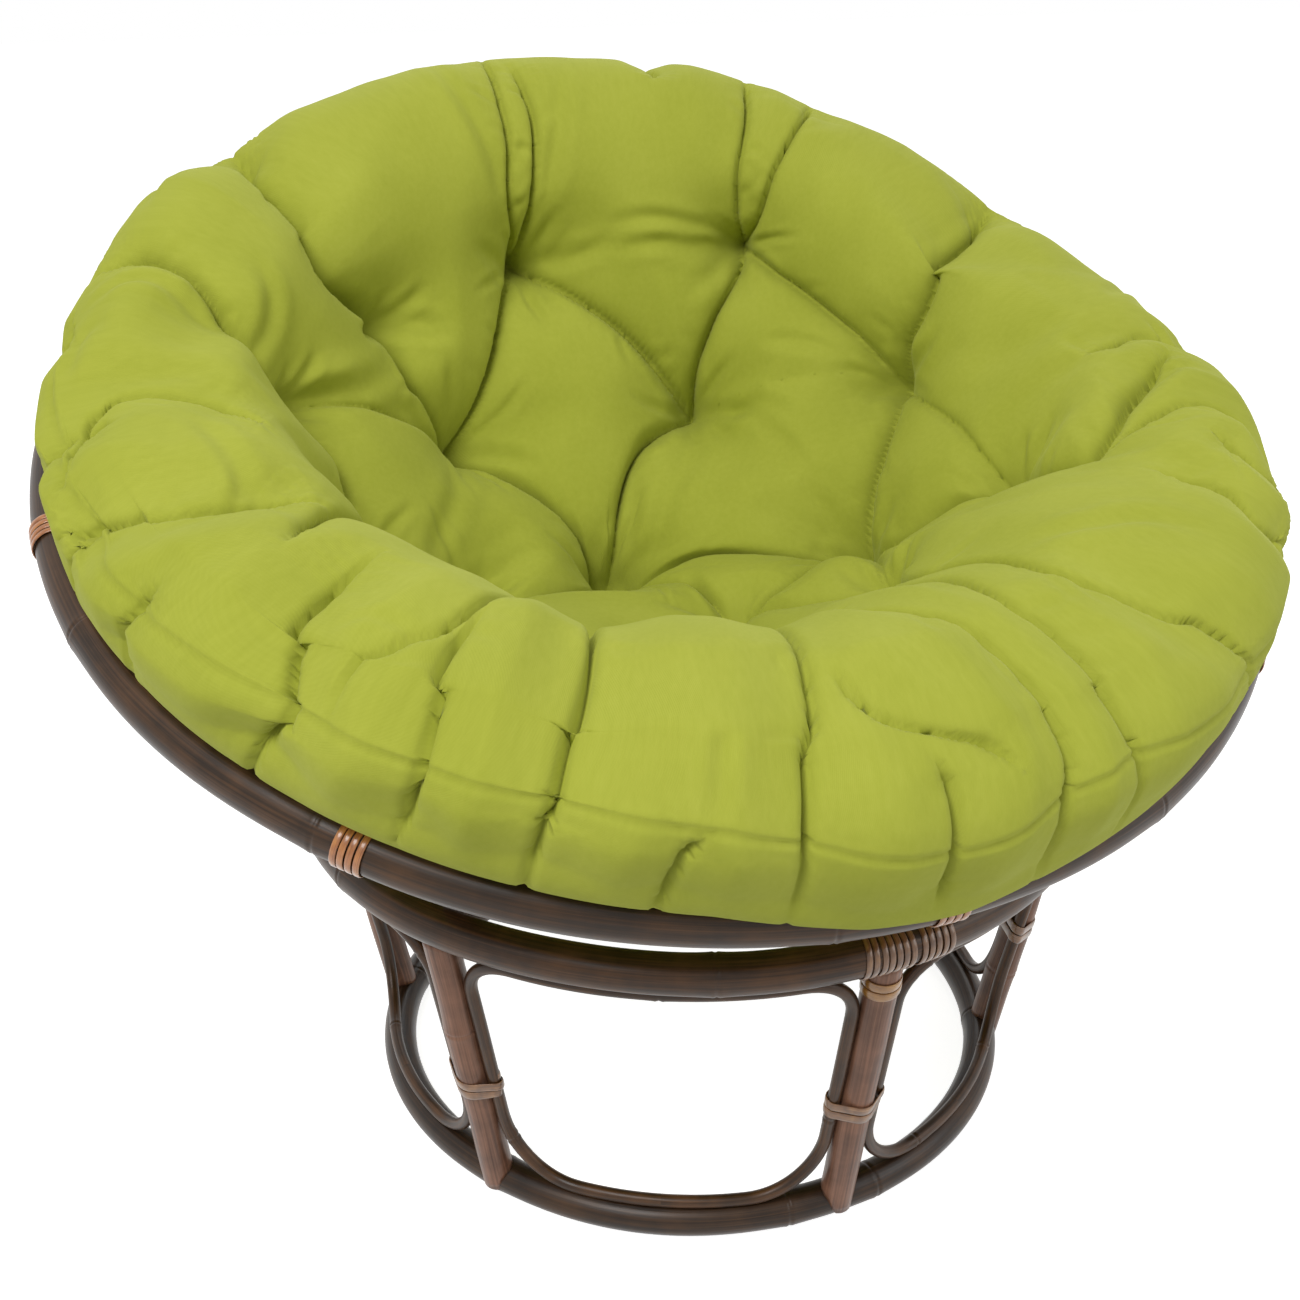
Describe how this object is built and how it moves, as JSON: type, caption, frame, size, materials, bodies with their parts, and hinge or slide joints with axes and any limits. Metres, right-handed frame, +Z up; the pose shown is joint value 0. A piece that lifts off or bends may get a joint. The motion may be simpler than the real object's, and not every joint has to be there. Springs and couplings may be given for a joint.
{
  "type": "papasan chair",
  "caption": "Round rattan bowl chair: a ribbed bowl that tilts in the top ring of a round rattan base, with a loose tufted round cushion that lifts out.",
  "frame": {"origin": "on the floor, under the middle of the chair's bounding box at rest", "axes": "+Z up, front of the chair towards -Y, +X to the right of someone who looks at its front"},
  "size_m": [1.0684, 1.0678, 0.8726],
  "materials": {
    "dark_rattan": "dark walnut stain, semi-gloss varnish",
    "red_rattan": "reddish walnut stain, semi-gloss varnish",
    "brown_peel": "stained rattan peel, varnished",
    "gold_peel": "natural rattan peel, varnished",
    "lime_twill": "matt cotton twill"
  },
  "bodies": {
    "base": {"base_top_ring": "dark_rattan", "base_bottom_ring": "dark_rattan", "leg_1": "red_rattan", "leg_2": "red_rattan", "leg_3": "red_rattan", "leg_4": "red_rattan", "leg_5": "red_rattan", "leg_6": "red_rattan", "leg_strap_1": "brown_peel", "leg_strap_2": "brown_peel", "leg_strap_3": "brown_peel", "leg_strap_4": "brown_peel", "leg_strap_5": "brown_peel", "leg_strap_6": "brown_peel", "panel_loop_1": "dark_rattan", "panel_loop_2": "dark_rattan", "panel_loop_3": "dark_rattan", "panel_loop_4": "dark_rattan", "panel_loop_5": "dark_rattan", "panel_loop_6": "dark_rattan", "ring_lashing_left": "brown_peel", "ring_lashing_right": "brown_peel", "leg_collar": "gold_peel"},
    "bowl": {"bowl_rim": "dark_rattan", "bowl_bottom_ring": "dark_rattan", "rib_1": "red_rattan", "rib_2": "red_rattan", "rib_3": "red_rattan", "rib_4": "red_rattan", "rib_5": "red_rattan", "rib_6": "red_rattan", "rib_7": "red_rattan", "rib_8": "red_rattan", "rim_binding_1": "brown_peel", "rim_binding_2": "brown_peel", "rim_binding_3": "brown_peel", "rim_binding_4": "brown_peel", "rim_binding_5": "brown_peel", "rim_binding_6": "brown_peel", "rim_binding_7": "brown_peel", "rim_binding_8": "brown_peel"},
    "loose_cushion": {"cushion": "lime_twill"}
  },
  "joints": [
    {"name": "bowl_tilt", "type": "hinge", "parent": "base", "child": "bowl", "pos_m": [0, -0.03913, 0.75842], "axis": [1, 0, 0], "range_deg": [-46.6, 7.3]},
    {"name": "cushion_lift", "type": "slide", "parent": "bowl", "child": "loose_cushion", "axis": [0, -0.3361, 0.9418], "range_m": [0, 0.6]}
  ]
}
